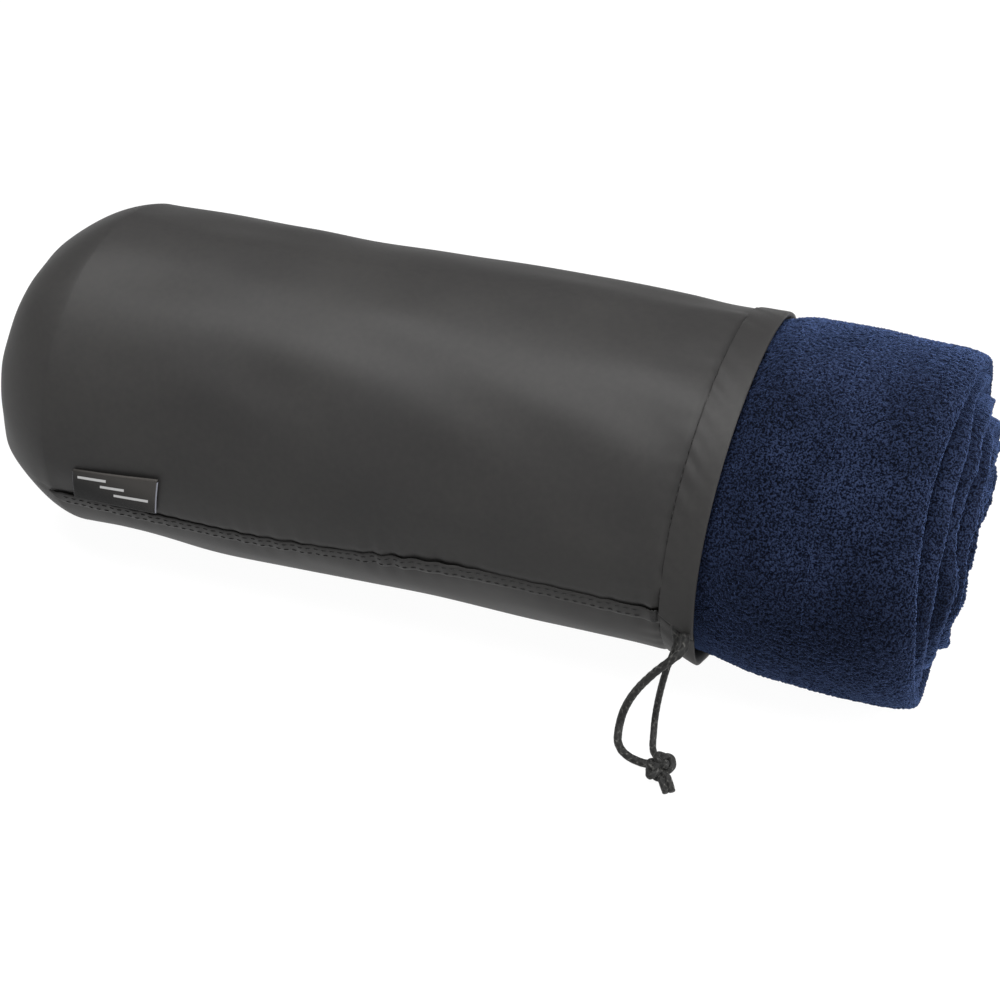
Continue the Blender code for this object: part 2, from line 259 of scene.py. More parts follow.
def grid_index(rows, columns, wrap_rows=False, wrap_columns=False):
    """The numbers of a grid's points, with the first row or column again after the last where it wraps."""
    index = np.arange(rows * columns).reshape(rows, columns)
    if wrap_rows:
        index = np.vstack([index, index[:1]])
    if wrap_columns:
        index = np.hstack([index, index[:, :1]])
    return index


def quads_of(index):
    """The four corners of each face of a grid of point numbers."""
    return np.stack([index[:-1, :-1], index[1:, :-1], index[1:, 1:], index[:-1, 1:]], -1).reshape(-1, 4)


def tube_faces(rows, columns):
    """Faces of a tube of rings, and three-cornered ones that close its ends on the two points after them."""
    index = grid_index(rows, columns, wrap_columns=True)
    start, end = (np.full(columns, rows * columns + i) for i in (0, 1))
    return np.vstack([quads_of(index), np.stack([index[0, :-1], index[0, 1:], start, start], -1),
                      np.stack([index[-1, 1:], index[-1, :-1], end, end], -1)])


def signed_volume(points, faces):
    """The volume inside the faces, below 0 where they point inwards."""
    first, second, third, last = (points[faces[:, i]] for i in range(4))
    return (np.einsum("ij,ij->i", first, np.cross(second, third))
            + np.einsum("ij,ij->i", first, np.cross(third, last))).sum() / 6


def add_object(name, data):
    """An object of this data, put in the scene."""
    obj = bpy.data.objects.new(name, data)
    bpy.context.scene.collection.objects.link(obj)
    return obj


def add_piece(name, points, faces, finish, body, slot, corners=None, fields=None):
    """A mesh piece of four-cornered faces, a corner may repeat. corners is (u, v) at each face's corners.

    It rides on one body where body is a name, and otherwise stays where it is drawn.
    """
    points = np.asarray(points, float).reshape(-1, 3)
    if signed_volume(points, faces) < 0:
        faces = faces[:, ::-1]
        corners = None if corners is None else corners[:, ::-1]
    whole = faces[:, 2] != faces[:, 3]
    lists = faces[whole].tolist() + faces[~whole][:, :3].tolist()
    mesh = bpy.data.meshes.new(name)
    mesh.from_pydata(points, [], lists)
    if corners is not None:
        flat = np.concatenate([corners[whole].reshape(-1, 2), corners[~whole][:, :3].reshape(-1, 2)])
        mesh.uv_layers.new(name="cut").data.foreach_set("uv", flat.astype(np.float32).ravel())
    for field, values in (fields or {}).items():
        store = mesh.attributes.new(field, "FLOAT", "POINT")
        store.data.foreach_set("value", np.asarray(values, np.float32).ravel())
    mesh.materials.append(finish)
    mesh.shade_smooth()
    obj = add_object(name, mesh)
    if isinstance(body, str):
        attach(obj, body)
    else:
        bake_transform(obj)
    return obj


def corner_pairs(u, v):
    """(u, v) at each face's corners of a grid, from one value for each line of points each way."""
    pairs = np.stack(np.meshgrid(u, v, indexing="ij"), -1)
    return np.stack([pairs[:-1, :-1], pairs[1:, :-1], pairs[1:, 1:], pairs[:-1, 1:]], 2).reshape(-1, 4, 2)


def add_tube(name, rings, finish, body, slot, along, fields=None):
    """A closed tube through rings of points, with a middle point at each end to close it."""
    rows, columns = rings.shape[:2]
    points = np.vstack([rings.reshape(-1, 3), rings[0].mean(0), rings[-1].mean(0)])
    side_pairs = corner_pairs(along, np.linspace(0, 1, columns + 1))
    cap_pairs = [np.full((columns, 4, 2), (place, 0.5)) for place in (along[0], along[-1])]
    corners = np.vstack([side_pairs, *cap_pairs])
    if fields:
        fields = {key: np.append(values.ravel(), [values[0].mean(), values[-1].mean()])
                  for key, values in fields.items()}
    return add_piece(name, points, tube_faces(rows, columns), finish, body, slot, corners, fields)


def add_slab(name, face_points, thickness, finish, body, slot, along, across, flip=1):
    """A sheet with a closed rim: a grid of points, and the same grid moved in by its thickness."""
    inside = face_points - flip * thickness * grid_normals(face_points)
    points = np.vstack([face_points.reshape(-1, 3), inside.reshape(-1, 3)])
    outer = grid_index(*face_points.shape[:2])
    inner = outer + outer.size
    rims = [(inner[0], outer[0]), (outer[-1], inner[-1]),
            (outer[:, 0], inner[:, 0]), (inner[:, -1], outer[:, -1])]
    pairs = corner_pairs(along, across)
    rim_pairs = [corner_pairs([place] * 2, across) for place in (along[0], along[-1])]
    rim_pairs += [corner_pairs([place] * 2, along)[..., ::-1] for place in (across[0], across[-1])]
    faces = [quads_of(outer), quads_of(inner)[:, ::-1], *[quads_of(np.stack(rim)) for rim in rims]]
    corners = np.vstack([pairs, pairs[:, ::-1], *rim_pairs])
    return add_piece(name, points, np.vstack(faces), finish, body, slot, corners)


# ------------ finishes

class Wire:
    """A node's output that adds, multiplies and compares as a number does, each time with a Math node."""

    def __init__(self, finish, socket):
        self.finish = finish
        self.socket = socket

    def math(self, operation, *others, flipped=False):
        values = [self, *others]
        if flipped:
            values = values[::-1]
        return self.finish.node("ShaderNodeMath", {"operation": operation}, dict(enumerate(values)))

    def __add__(self, other):
        return self.math("ADD", other)

    def __sub__(self, other):
        return self.math("SUBTRACT", other)

    def __rsub__(self, other):
        return self.math("SUBTRACT", other, flipped=True)

    def __mul__(self, other):
        return self.math("MULTIPLY", other)

    __radd__ = __add__

    def wave(self, length):
        """Cosine of the distance, from 0 to 1, once in each length."""
        return (self * (2 * math.pi / length)).math("COSINE") * 0.5 + 0.5

    def step(self, low, high):
        """0 below low, 1 above high, and smooth between them."""
        settings = {"interpolation_type": "SMOOTHSTEP"}
        return self.finish.node("ShaderNodeMapRange", settings, {"Value": self, 1: low, 2: high})

    def within(self, low, high, soft):
        """1 between low and high, with soft sides."""
        return self.step(low - soft, low + soft) * (1 - self.step(high - soft, high + soft))


class Finish:
    """A material under construction: its Principled shader, and one way to add a node."""

    def __init__(self, name, **constants):
        self.material = bpy.data.materials.new(name)
        self.material.use_nodes = True
        self.tree = self.material.node_tree
        self.shader = self.tree.nodes["Principled BSDF"]
        for socket, value in constants.items():
            self.shader.inputs[socket.replace("_", " ")].default_value = value

    def node(self, kind, settings=None, inputs=None, output=0):
        """Adds a node: its settings first, then the value or the wire of each socket, named or numbered."""
        made = self.tree.nodes.new(kind)
        for key, value in (settings or {}).items():
            setattr(made, key, value)
        for key, value in (inputs or {}).items():
            if isinstance(value, Wire):
                self.tree.links.new(value.socket, made.inputs[key])
            else:
                made.inputs[key].default_value = value
        return Wire(self, made.outputs[output])

    def place(self):
        """Object coordinates, which stay with the piece."""
        return self.node("ShaderNodeTexCoord", output=3)

    def cut(self):
        """The piece's own map, along and across, as two wires."""
        map_place = self.node("ShaderNodeUVMap", {"uv_map": "cut"})
        parts = self.node("ShaderNodeSeparateXYZ", None, {0: map_place})
        return parts, Wire(self, parts.socket.node.outputs[1])

    def noise(self, scale, detail=2.0, roughness=0.5):
        inputs = {"Vector": self.place(), "Scale": scale, "Detail": detail, "Roughness": roughness}
        return self.node("ShaderNodeTexNoise", None, inputs)

    def mix(self, factor, first, second):
        """A colour between two, by the factor."""
        inputs = {0: factor}
        for slot, colour in ((6, first), (7, second)):
            inputs[slot] = colour if isinstance(colour, Wire) else (*colour, 1)
        return self.node("ShaderNodeMix", {"data_type": "RGBA"}, inputs, 2)

    def bump(self, height, distance, strength, before=None):
        inputs = {"Strength": strength, "Distance": distance, "Height": height}
        if before is not None:
            inputs["Normal"] = before
        return self.node("ShaderNodeBump", None, inputs)

    def feed(self, **wires):
        """Links wires to the shader's own sockets, and gives the material back."""
        for socket, wire in wires.items():
            self.tree.links.new(wire.socket, self.shader.inputs[socket.replace("_", " ")])
        return self.material


def coated_fabric():
    """Charcoal coated polyester: a fine plain weave, faint creases and slow changes of tone."""
    finish = Finish("coated_fabric", Specular_IOR_Level=0.15)
    along, across = finish.cut()
    weave = along.wave(0.00042) * across.wave(0.00042)
    tone = finish.noise(14.0, 3.0)
    mottle = finish.noise(420.0, 2.0)
    creases = finish.node("ShaderNodeTexNoise", {"noise_type": "RIDGED_MULTIFRACTAL"},
                          {"Vector": finish.place(), "Scale": 26.0, "Detail": 3.0})
    shade = tone * 0.7 + mottle * 0.3
    colour = finish.mix(shade.step(0.3, 0.7), (0.0225, 0.0219, 0.0219), (0.0285, 0.0277, 0.0269))
    rough = 0.48 + tone * 0.10 - weave * 0.03
    bump = finish.bump(weave, 0.00003, 0.35)
    bump = finish.bump(creases, 0.0009, 0.16, bump)
    return finish.feed(Base_Color=colour, Roughness=rough, Normal=bump)


def plush_pile():
    """Navy microfibre pile: small worm-like tufts, with painted shade in the pits between them, and paler
    tips.
    """
    finish = Finish("plush_pile", Sheen_Weight=0.50, Sheen_Roughness=0.27, Sheen_Tint=(0.25, 0.40, 0.90, 1),
                    Specular_IOR_Level=0.04)
    height = finish.node("ShaderNodeAttribute", {"attribute_name": "pile"}, output=2)
    worms = finish.noise(1500.0, 1.5, 0.6)
    fibres = finish.noise(3200.0, 1.0, 0.6)
    brushed = finish.noise(38.0, 2.0)
    # painted shade: the pits between tufts, where height and noise are low, take a near-black navy
    tuft = (height * 0.10 + worms * 0.90 + fibres * 0.20).step(0.51, 0.72)
    painted_pit_shade = finish.mix(brushed.step(0.35, 0.65), (0.0010, 0.0016, 0.0042), (0.0016, 0.0026, 0.0070))
    tips = finish.mix(brushed.step(0.35, 0.65), (0.0110, 0.0168, 0.0385), (0.0175, 0.0260, 0.0580))
    colour = finish.mix(tuft, painted_pit_shade, tips)
    bump = finish.bump(worms * 0.8 + fibres * 0.3, 0.0008, 0.9)
    return finish.feed(Base_Color=colour, Roughness=0.86 + fibres * 0.12, Normal=bump)


def braided_cord():
    """Black braided cord: crossing strands, painted shade where a strand dips under, and paler flecks where a
    strand turns over.
    """
    finish = Finish("braided_cord", Specular_IOR_Level=0.25, Sheen_Weight=0.05)
    height = finish.node("ShaderNodeAttribute", {"attribute_name": "strand"}, output=2)
    fibres = finish.noise(2600.0, 2.0)
    fleck = finish.noise(700.0, 1.0).step(0.52, 0.62) * height.step(0.55, 0.9)
    # painted shade: the black darkens where a strand dips low between the others
    black = finish.mix(height.step(0.0, 0.8), (0.0015, 0.0015, 0.0015), (0.0095, 0.0095, 0.0090))
    colour = finish.mix(fleck, black, (0.055, 0.054, 0.050))
    bump = finish.bump(fibres, 0.00015, 0.5)
    return finish.feed(Base_Color=colour, Roughness=0.55 + fibres * 0.25, Normal=bump)


def sewing_thread():
    """Black polyester thread, with the twist of its plies, and painted shade in the grooves between them."""
    finish = Finish("sewing_thread", Specular_IOR_Level=0.4)
    fibres = finish.noise(3000.0, 2.0)
    along, across = finish.cut()
    twist = (along + across * 0.0009).wave(0.0009)
    # painted shade: darker where the twist dips, in the grooves between plies
    colour = finish.mix(twist, (0.003, 0.003, 0.003), (0.011, 0.011, 0.011))
    bump = finish.bump(twist, 0.0001, 0.6)
    return finish.feed(Base_Color=colour, Roughness=0.5 + fibres * 0.2, Normal=bump)


def label_satin():
    """Black satin ribbon: fine ribs across it, a soft gloss, a painted sheen that lightens its upper right
    part, and three plain pale bars that step down it.
    """
    finish = Finish("label_satin", Specular_IOR_Level=0.06)
    along, across = finish.cut()
    bars = None
    for low, high, line in LABEL_BARS:
        bar = along.within(low, high, 0.0001) * across.within(line - 0.00075, line + 0.00075, 0.0001)
        bars = bar if bars is None else bars + bar
    wear = finish.noise(900.0, 2.0)
    # painted sheen: the black lightens towards the ribbon's top and its right end, with a little wear noise
    # mixed in
    painted_sheen = (along * 0.35 + across).step(0.008, 0.028)
    black = finish.mix(painted_sheen * 0.9 + wear * 0.1, (0.002, 0.002, 0.0025), (0.050, 0.047, 0.044))
    colour = finish.mix(bars, black, (0.50, 0.50, 0.50))
    rough = 0.36 + wear * 0.12 + bars * 0.3
    bump = finish.bump(across.wave(0.00022), 0.00004, 0.4)
    return finish.feed(Base_Color=colour, Roughness=rough, Normal=bump)


def label_reverse():
    """The ribbon's grey reverse."""
    finish = Finish("label_reverse", Specular_IOR_Level=0.4)
    along, across = finish.cut()
    ribs = across.wave(0.00022) * 0.6 + along.wave(0.0003) * 0.4
    colour = finish.mix(ribs, (0.16, 0.165, 0.20), (0.22, 0.225, 0.26))
    return finish.feed(Base_Color=colour, Roughness=0.4 + ribs * 0.1, Normal=finish.bump(ribs, 0.00003, 0.4))


def studio_floor():
    """White paper that glows a little, so that it stays even under the roll."""
    finish = Finish("studio_floor", Roughness=0.9, Specular_IOR_Level=0.1, Emission_Color=(1, 1, 1, 1),
                    Emission_Strength=0.96)
    paper = finish.noise(3.0, 2.0)
    return finish.feed(Base_Color=finish.mix(paper, (0.065, 0.065, 0.065), (0.075, 0.075, 0.075)))


# What most pieces share: a finish, the body that they ride on, and their slot
CLOTH = (coated_fabric(), "pouch", "pouch_fabric")
PILE = (plush_pile(), "towel", "towel_pile")
CORD = (braided_cord(), "pouch", "cord")
THREAD = (sewing_thread(), "pouch", "thread")
SATIN = label_satin()
REVERSE = label_reverse()


# ------------ camera, light and floor

def make_camera():
    """A long lens above the mouth's side of the roll, level, and aimed a little under the roll's middle."""
    away = np.array([math.sin(CAMERA_AZIMUTH) * math.cos(CAMERA_ELEVATION),
                     -math.cos(CAMERA_AZIMUTH) * math.cos(CAMERA_ELEVATION), math.sin(CAMERA_ELEVATION)])
    data = bpy.data.cameras.new("camera")
    data.lens = CAMERA_LENS
    data.sensor_width = 36
    camera = add_object("camera", data)
    camera.location = np.array(CAMERA_TARGET) + away * CAMERA_DISTANCE
    camera.rotation_euler = (math.pi / 2 - CAMERA_ELEVATION, 0, CAMERA_AZIMUTH)
    bpy.context.scene.camera = camera


def add_softbox(name, place, aim, size, power):
    """A rectangular lamp of this width, height and watts, turned to its aim."""
    data = bpy.data.lights.new(name, "AREA")
    data.shape = "RECTANGLE"
    data.size, data.size_y = size
    data.energy = power
    lamp = add_object(name, data)
    lamp.location = place
    away = lamp.location - type(lamp.location)(aim)
    lamp.rotation_euler = away.to_track_quat("Z", "Y").to_euler()


def make_studio():
    """A pale glowing floor, a wide box over the front of the roll, two fills, and a white surround."""
    size = 3.0
    corners = np.array([[-size, -size, 0], [size, -size, 0], [size, size, 0], [-size, size, 0]])
    mesh = bpy.data.meshes.new("floor")
    mesh.from_pydata(corners, [], [(0, 1, 2, 3)])
    mesh.materials.append(studio_floor())
    add_object("floor", mesh)
    add_softbox("overhead", (-0.10, -0.25, 1.30), (0, 0, 0.05), (1.4, 0.6), 32)
    add_softbox("front_fill", (0.9, -1.3, 0.9), (0, 0, 0.05), (1.0, 1.0), 4)
    add_softbox("end_fill", (1.15, 0.0, 0.40), (0.18, 0, 0.06), (0.6, 0.6), 17)
    world = bpy.data.worlds.new("surround")
    world.use_nodes = True
    background = world.node_tree.nodes["Background"]
    background.inputs["Color"].default_value = (1, 1, 1, 1)
    background.inputs["Strength"].default_value = 0.22
    bpy.context.scene.world = world
    bpy.context.scene.view_settings.view_transform = "Standard"


# ------------ cord

def braid_rings(path, diameter, around=24, carriers=4, pitch=0.0034, relief=0.00013):
    """Rings of a braided cord: two sets of strands wind opposite ways, and the higher shows at each place.

    A strand's height is the cosine across it, and it dips where it passes under, once in each crossing.
    """
    along = lengths_along(path)[:, None]
    turn = turn_round(around)[None, :]
    one, other = (carriers * turn + sign * 2 * math.pi * along / pitch for sign in (1, -1))
    over = np.cos((one + other) / 2) * np.cos((one - other) / 2)
    height = np.maximum(np.cos(one) + 0.5 * over, np.cos(other) - 0.5 * over)
    height = (height + 1) / 2.5
    radius = np.reshape(diameter, (-1, 1)) / 2 - relief * (1 - height)
    side, up = side_frames(path)
    ring = np.cos(turn)[..., None] * side[:, None] + np.sin(turn)[..., None] * up[:, None]
    return path[:, None] + radius[..., None] * ring, height, along[:, 0]


def add_braid(name, path, diameter, replaced):
    """A braided cord along this path, as one piece."""
    rings, height, along = braid_rings(path, diameter)
    obj = add_tube(name, rings, *CORD, along, {"strand": height})
    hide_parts(*replaced)
    return obj


def knot_route(start, end, lift, turn_from):
    """One strand's way through an overhand knot: a trefoil wound on a ring, joined to its two ends.

    The ring lies flat, and its strand goes twice round it while it passes three times through the middle.
    """
    middle = (np.array(start) + np.array(end)) / 2
    middle[2] = lift
    t = np.linspace(turn_from, turn_from + 2 * math.pi * 0.86, 20)
    reach = 0.0022 + 0.0013 * np.cos(3 * t)
    loop = np.stack([reach * np.cos(2 * t), 1.2 * reach * np.sin(2 * t), 0.0014 * np.sin(3 * t)], axis=1)
    return np.vstack([start, middle + loop, end])


def make_knot(tails):
    """The knot's two strands, wound close together round a plain core."""
    strands = {}
    for side, lift, first in (("left", 0.0032, 2.2), ("right", 0.0050, 2.6)):
        route = knot_route(tails[side][-1], STUB_ROUTES[side][0], lift, first)
        path = resample(smooth_path(route, 0.0003), 260)
        strands[side] = add_braid(f"knot_strand_{side}", path, KNOT_D, ["drawcord_knot"])
    share = np.linspace(0.02, 0.98, 24)
    ends = [stub[0] for stub in STUB_ROUTES.values()] + [path[-1] for path in tails.values()]
    middle = np.mean(ends, axis=0)
    middle[2] = 0.0040
    path = middle + (share[:, None] - 0.5) * (0.0030, 0.0070, 0.0)
    rings, height, along = braid_rings(path, 0.0050 * np.sqrt(1 - (2 * share - 1) ** 2))
    core = add_tube("knot_core", rings, *CORD, along, {"strand": height})
    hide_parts("drawcord_knot")
    return strands


def make_cord():
    """The cord's two free tails, the knot that joins them, and the two short ends past it."""
    tails, paths, stubs = {}, {}, {}
    sides = (("left", LEFT_TAIL_ROUTE, LEFT_TAIL_D), ("right", RIGHT_TAIL_ROUTE, RIGHT_TAIL_D))
    for side, route, size in sides:
        paths[side] = smooth_path(route, CORD_STEP)
        tails[side] = add_braid(f"cord_tail_{side}", paths[side], size, [f"drawcord_tail_{side}"])
    for side, route in STUB_ROUTES.items():
        path = smooth_path(route, CORD_STEP)
        stubs[side] = add_braid(f"cord_stub_{side}", path, KNOT_D, [f"drawcord_stub_{side}"])
    knots = make_knot(paths)
    for side, tail in tails.items():
        path = paths[side]


def make_channel_cord():
    """The cord's hidden part, round the mouth inside the hem."""
    angle = np.linspace(math.radians(-11.0), math.radians(360 - 21.5), 900)
    x = np.linspace(RIGHT_TAIL_ROUTE[0][0], LEFT_TAIL_ROUTE[0][0], len(angle))
    radius = pouch_radius(x, angle) - CHANNEL_DEPTH
    path = round_roll(x + mouth_lean(angle) * 0.5, radius, angle, HEM_REST_R)
    rings, height, along = braid_rings(path, CORD_D, 12)
    cord = add_tube("cord_in_channel", rings, *CORD, along, {"strand": height})
    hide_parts("drawcord_run")


# ------------ pouch

PUCKERS = grain((760, 1), (PUCKER_STEP, 1), (0.0085, 1), 5, 0.45)[:, 0]

def seam_angle(x):
    """Where the side seam is round the roll: it climbs towards the mouth."""
    climb = smoothstep(x, SEAM_TURN_FROM, SEAM_TURN_TO)
    return SEAM_ANGLE_END + (SEAM_ANGLE_MOUTH - SEAM_ANGLE_END) * climb


def mouth_lean(angle):
    """How far the mouth's edge stands out of its mean place: furthest at the top of the back."""
    return 0.0031 * np.cos(angle - math.radians(110)) - 0.0009 * np.cos(2 * (angle - math.radians(20)))


def pouch_radius(x, angle):
    """The pouch's radius: off centre to the back at the mouth, and to the front at the closed end."""
    shift = -0.0014 + 0.0024 * smoothstep(x, -0.12, 0.03)
    return POUCH_R + 0.0002 + shift * np.cos(angle - math.radians(123))


def end_round(bend):
    """How far the closed end is drawn in at this bend, from 0 at its disc to a quarter turn."""
    return END_ROUND_R * (1 - np.sin(bend) ** (2 / END_ROUND_POWER))


def pouch_profile(share):
    """x and the radius's share of the profile, from the closed end's middle (0) to the hem's stitch (1)."""
    inside = np.clip(share / DISC_SHARE, 0, 1)
    bend = np.clip((share - DISC_SHARE) / (TURN_SHARE - DISC_SHARE), 0, 1) * math.pi / 2
    run = np.clip((share - TURN_SHARE) / (1 - TURN_SHARE), 0, 1)
    radius = np.where(share < DISC_SHARE, (POUCH_R - END_ROUND_R) * inside, POUCH_R - end_round(bend))
    x = CLOSED_X + END_ROUND_X * (1 - np.cos(bend) ** (2 / END_ROUND_POWER))
    x = x + run * (HEM_X + 0.0006 - CLOSED_X - END_ROUND_X)
    return x, radius / POUCH_R


def side_share(x):
    """The rounded end's radius at x, as a share of the side's: the profile's curve, read the other way."""
    rest = np.clip(1 - (np.asarray(x, float) - CLOSED_X) / END_ROUND_X, 0, 1)
    return 1 - end_round(np.arccos(rest ** (END_ROUND_POWER / 2))) / POUCH_R


def pouch_slide(x, angle, part):
    """How far the closed end's tilt and the mouth's lean carry the cloth along the roll."""
    near_end = (1 - smoothstep(x, CLOSED_X + 0.02, CLOSED_X + 0.07)) * part
    tilt = END_TILT * np.cos(angle - END_TILT_ANGLE) * near_end
    return mouth_lean(angle) * smoothstep(x, 0.0, HEM_X) - tilt


def off_seam(x, angle):
    """Distance round the roll from the side seam."""
    return POUCH_R * (np.mod(angle - seam_angle(x) + math.pi, 2 * math.pi) - math.pi)


def pucker(x, angle):
    """The small waves that the side seam's thread draws up, alike in both layers, fading on both sides."""
    places = CLOSED_X + PUCKER_STEP * np.arange(len(PUCKERS))
    return 0.00018 * bell(off_seam(x, angle), 0.010) * np.interp(x, places, PUCKERS)


def on_pouch(x, angle, above):
    """Points standing this far off the pouch's plain side."""
    part = side_share(x)
    radius = part * pouch_radius(x, angle) + above + pucker(x, angle)
    return round_roll(x + pouch_slide(x, angle, part), radius, angle)


def pouch_surface(shares, angles, folds, gathers):
    """The fabric's outside: a tube with a rounded end, creases, puckered seams, and a groove at each row."""
    x, part = (value[:, None] for value in pouch_profile(shares))
    turn = angles[None, :]
    on_side = smoothstep(shares[:, None], 0.22, 0.34)
    from_hem = x - HEM_X
    radius = part * pouch_radius(x, turn) + 0.00040 * on_side * folds
    radius = radius + on_side * (pucker(x, turn) - 0.0007 * bell(off_seam(x, turn), 0.0012))
    radius = radius + 0.00011 * bell(from_hem, 0.008) * gathers - 0.0006 * bell(from_hem, 0.0012)
    ridge = (1 - smoothstep(part, 0.75, 1.0)) * bell(radius * np.sin(turn - SEAM_ANGLE_END), 0.010)
    x = x + pouch_slide(x, turn, part) - 0.0022 * ridge + 0.0005 * (1 - on_side) * folds * part
    return round_roll(x, radius, turn)


def make_pouch_body():
    """The pouch's cloth, its outside fine and its inside coarse, joined at the hem's stitch."""
    columns = 240
    stretches = ((0.012, DISC_SHARE, 16), (DISC_SHARE, TURN_SHARE, 36), (TURN_SHARE, 0.93, 120))
    shares = [np.linspace(low, high, count, endpoint=False) for low, high, count in stretches]
    shares = np.concatenate([*shares, np.linspace(0.93, 1, 22)])
    angles = SEAM_ANGLE_END + turn_round(columns)
    shape = (len(shares), columns)
    steps = (0.0018, 2 * math.pi * POUCH_R / columns)
    folds = swell(shape, steps, (0.060, 0.030), 3)
    gathers = grain(shape, steps, (0.080, 0.009), 8, 0.5)
    outside = pouch_surface(shares, angles, folds, gathers)
    inside = outside - FABRIC_T * grid_normals(outside, True)
    kept = np.append(np.arange(0, len(shares) - 1, 3), len(shares) - 1)[::-1]
    grid = np.concatenate([outside, inside[kept]])
    points = np.vstack([grid.reshape(-1, 3), outside[0].mean(0), inside[0].mean(0)])
    along = np.concatenate([shares, shares[kept]]) * 0.33
    across = np.linspace(0, 2 * math.pi * POUCH_R, columns + 1)
    corners = np.vstack([corner_pairs(along, across), np.zeros((2 * columns, 4, 2))])
    body = add_piece("pouch_body", points, tube_faces(len(grid), columns), *CLOTH, corners)
    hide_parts("pouch_shell")
    return body


def hem_section():
    """The hem's section as (share from the stitch to the edge, height over the pouch's side): a flat tube.

    It follows a stretched circle: its outer side bulges, its inner side holds the cord, and its edge is a
    soft fold.
    """
    turn = turn_round(44)
    across = 0.5 - 0.5 * np.sign(np.cos(turn)) * np.abs(np.cos(turn)) ** 0.75
    lump = np.abs(np.sin(turn))
    outer = 0.0003 + 0.0008 * np.sqrt(lump) * (0.35 + 0.65 * across)
    inner = -0.0002 - 0.0030 * lump ** (0.6 + across)
    return across, np.where(np.sin(turn) > 0, outer, inner)


def make_mouth_hem():
    """The hem round the mouth, open at the cord: its upper end is cut on a slant, and its lower end sags."""
    over, height = (value[None, :] for value in hem_section())
    columns = 420
    share = np.linspace(0, 1, columns)[:, None]
    first = HEM_UPPER_END[0] + (HEM_UPPER_END[1] - HEM_UPPER_END[0]) * over
    last = 2 * math.pi + HEM_LOWER_END[0] + (HEM_LOWER_END[1] - HEM_LOWER_END[0]) * over
    angle = first + (last - first) * share
    gathers = grain((columns, over.size), (0.001, 0.0006), (0.010, 0.05), 12, 0.5)
    x = HEM_X + 0.0002 + over * (MOUTH_X - HEM_X) + mouth_lean(angle)
    radius = pouch_radius(x, angle) - 0.0002 + height + 0.00009 * gathers * (0.25 + bell(over, 0.4))
    radius = radius + 0.0012 * bell(POUCH_R * (angle - first), 0.009)
    radius = radius + 0.0034 * over * bell(POUCH_R * (angle - last) + 0.018, 0.013)
    rings = round_roll(x, radius, angle, HEM_REST_R)
    hem = add_tube("mouth_hem", rings, *CLOTH, share[:, 0] * 2 * math.pi * POUCH_R)
    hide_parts("mouth_channel")
    return hem


def make_seam_lap():
    """The lap of the side seam, from its slanted end on the closed end's shoulder to the hem."""
    rows, columns = 300, 12
    share = np.linspace(0, 1, rows)
    lap = np.linspace(0, 1, columns)[None, :]
    start = LAP_START + LAP_SLANT * lap
    x = start + share[:, None] * (HEM_X + 0.0010 - start)
    angle = seam_angle(x) - lap * LAP_WIDTH / POUCH_R
    face = on_pouch(x, angle, 0.0003 + 0.0004 * np.sin(math.pi * lap) ** 0.5)
    cloth = add_slab("side_seam_lap_cloth", face, 0.0006, *CLOTH,
                     share * (HEM_X - LAP_START), np.linspace(0, LAP_WIDTH, columns), flip=-1)
    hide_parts("side_seam_lap")
    return cloth


def stitch_rings(path, normals, around=6, stations=6):
    """Rings of each stitch in a row: short threads that dive into the cloth at both ends."""
    along = lengths_along(path)
    count = int(along[-1] // (STITCH + STITCH_GAP))
    starts = np.arange(count) * (STITCH + STITCH_GAP) + STITCH_GAP / 2
    share = np.linspace(0, 1, stations)
    places = starts[:, None] + share[None, :] * STITCH
    centre = np.stack([np.interp(places, along, path[:, i]) for i in range(3)], -1)
    normal = np.stack([np.interp(places, along, normals[:, i]) for i in range(3)], -1)
    ahead = np.gradient(centre, axis=1)
    ahead /= np.linalg.norm(ahead, axis=-1, keepdims=True)
    side = np.cross(ahead, normal)
    arch = np.sin(math.pi * share) ** 0.5
    centre = centre - normal * (THREAD_D * 1.1 * (1 - arch))[None, :, None]
    radius = THREAD_D / 2 * (0.55 + 0.45 * arch)
    turn = turn_round(around)
    ring = np.cos(turn)[:, None] * side[:, :, None] + np.sin(turn)[:, None] * normal[:, :, None]
    return centre[:, :, None] + radius[None, :, None, None] * ring


def add_stitches(name, path, replaced):
    """A row of stitches as one piece: each is its own closed thread."""
    rings = stitch_rings(path, from_axis(path))
    count, stations, around = rings.shape[:3]
    ends = rings[:, [0, -1]].mean(2)
    points = np.concatenate([rings.reshape(count, -1, 3), ends], axis=1)
    one = tube_faces(stations, around)
    faces = (one[None] + np.arange(count)[:, None, None] * points.shape[1]).reshape(-1, 4)
    pairs = corner_pairs(np.linspace(0, STITCH, stations), np.linspace(0, 1, around + 1))
    pairs = np.vstack([pairs, np.zeros((2 * around, 4, 2))])
    obj = add_piece(name, points, faces, *THREAD, np.tile(pairs, (count, 1, 1)))
    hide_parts(*replaced)


def make_stitching():
    """Two rows along the side seam's lap, and one round the mouth at the hem."""
    x = np.linspace(LAP_START + 0.005, HEM_X - 0.006, 400)
    for name, share in (("upper", 0.25), ("lower", 0.72)):
        path = on_pouch(x, seam_angle(x) - share * LAP_WIDTH / POUCH_R, 0.00080)
        add_stitches(f"seam_stitches_{name}", path, [f"side_seam_stitch_{name}"])
    angle = np.linspace(HEM_UPPER_END[0], 2 * math.pi + HEM_LOWER_END[0], 700)
    x = HEM_X + mouth_lean(angle)
    path = round_roll(x, pouch_radius(x, angle) - 0.0001, angle)
    add_stitches("hem_stitches", path, ["mouth_stitch"])


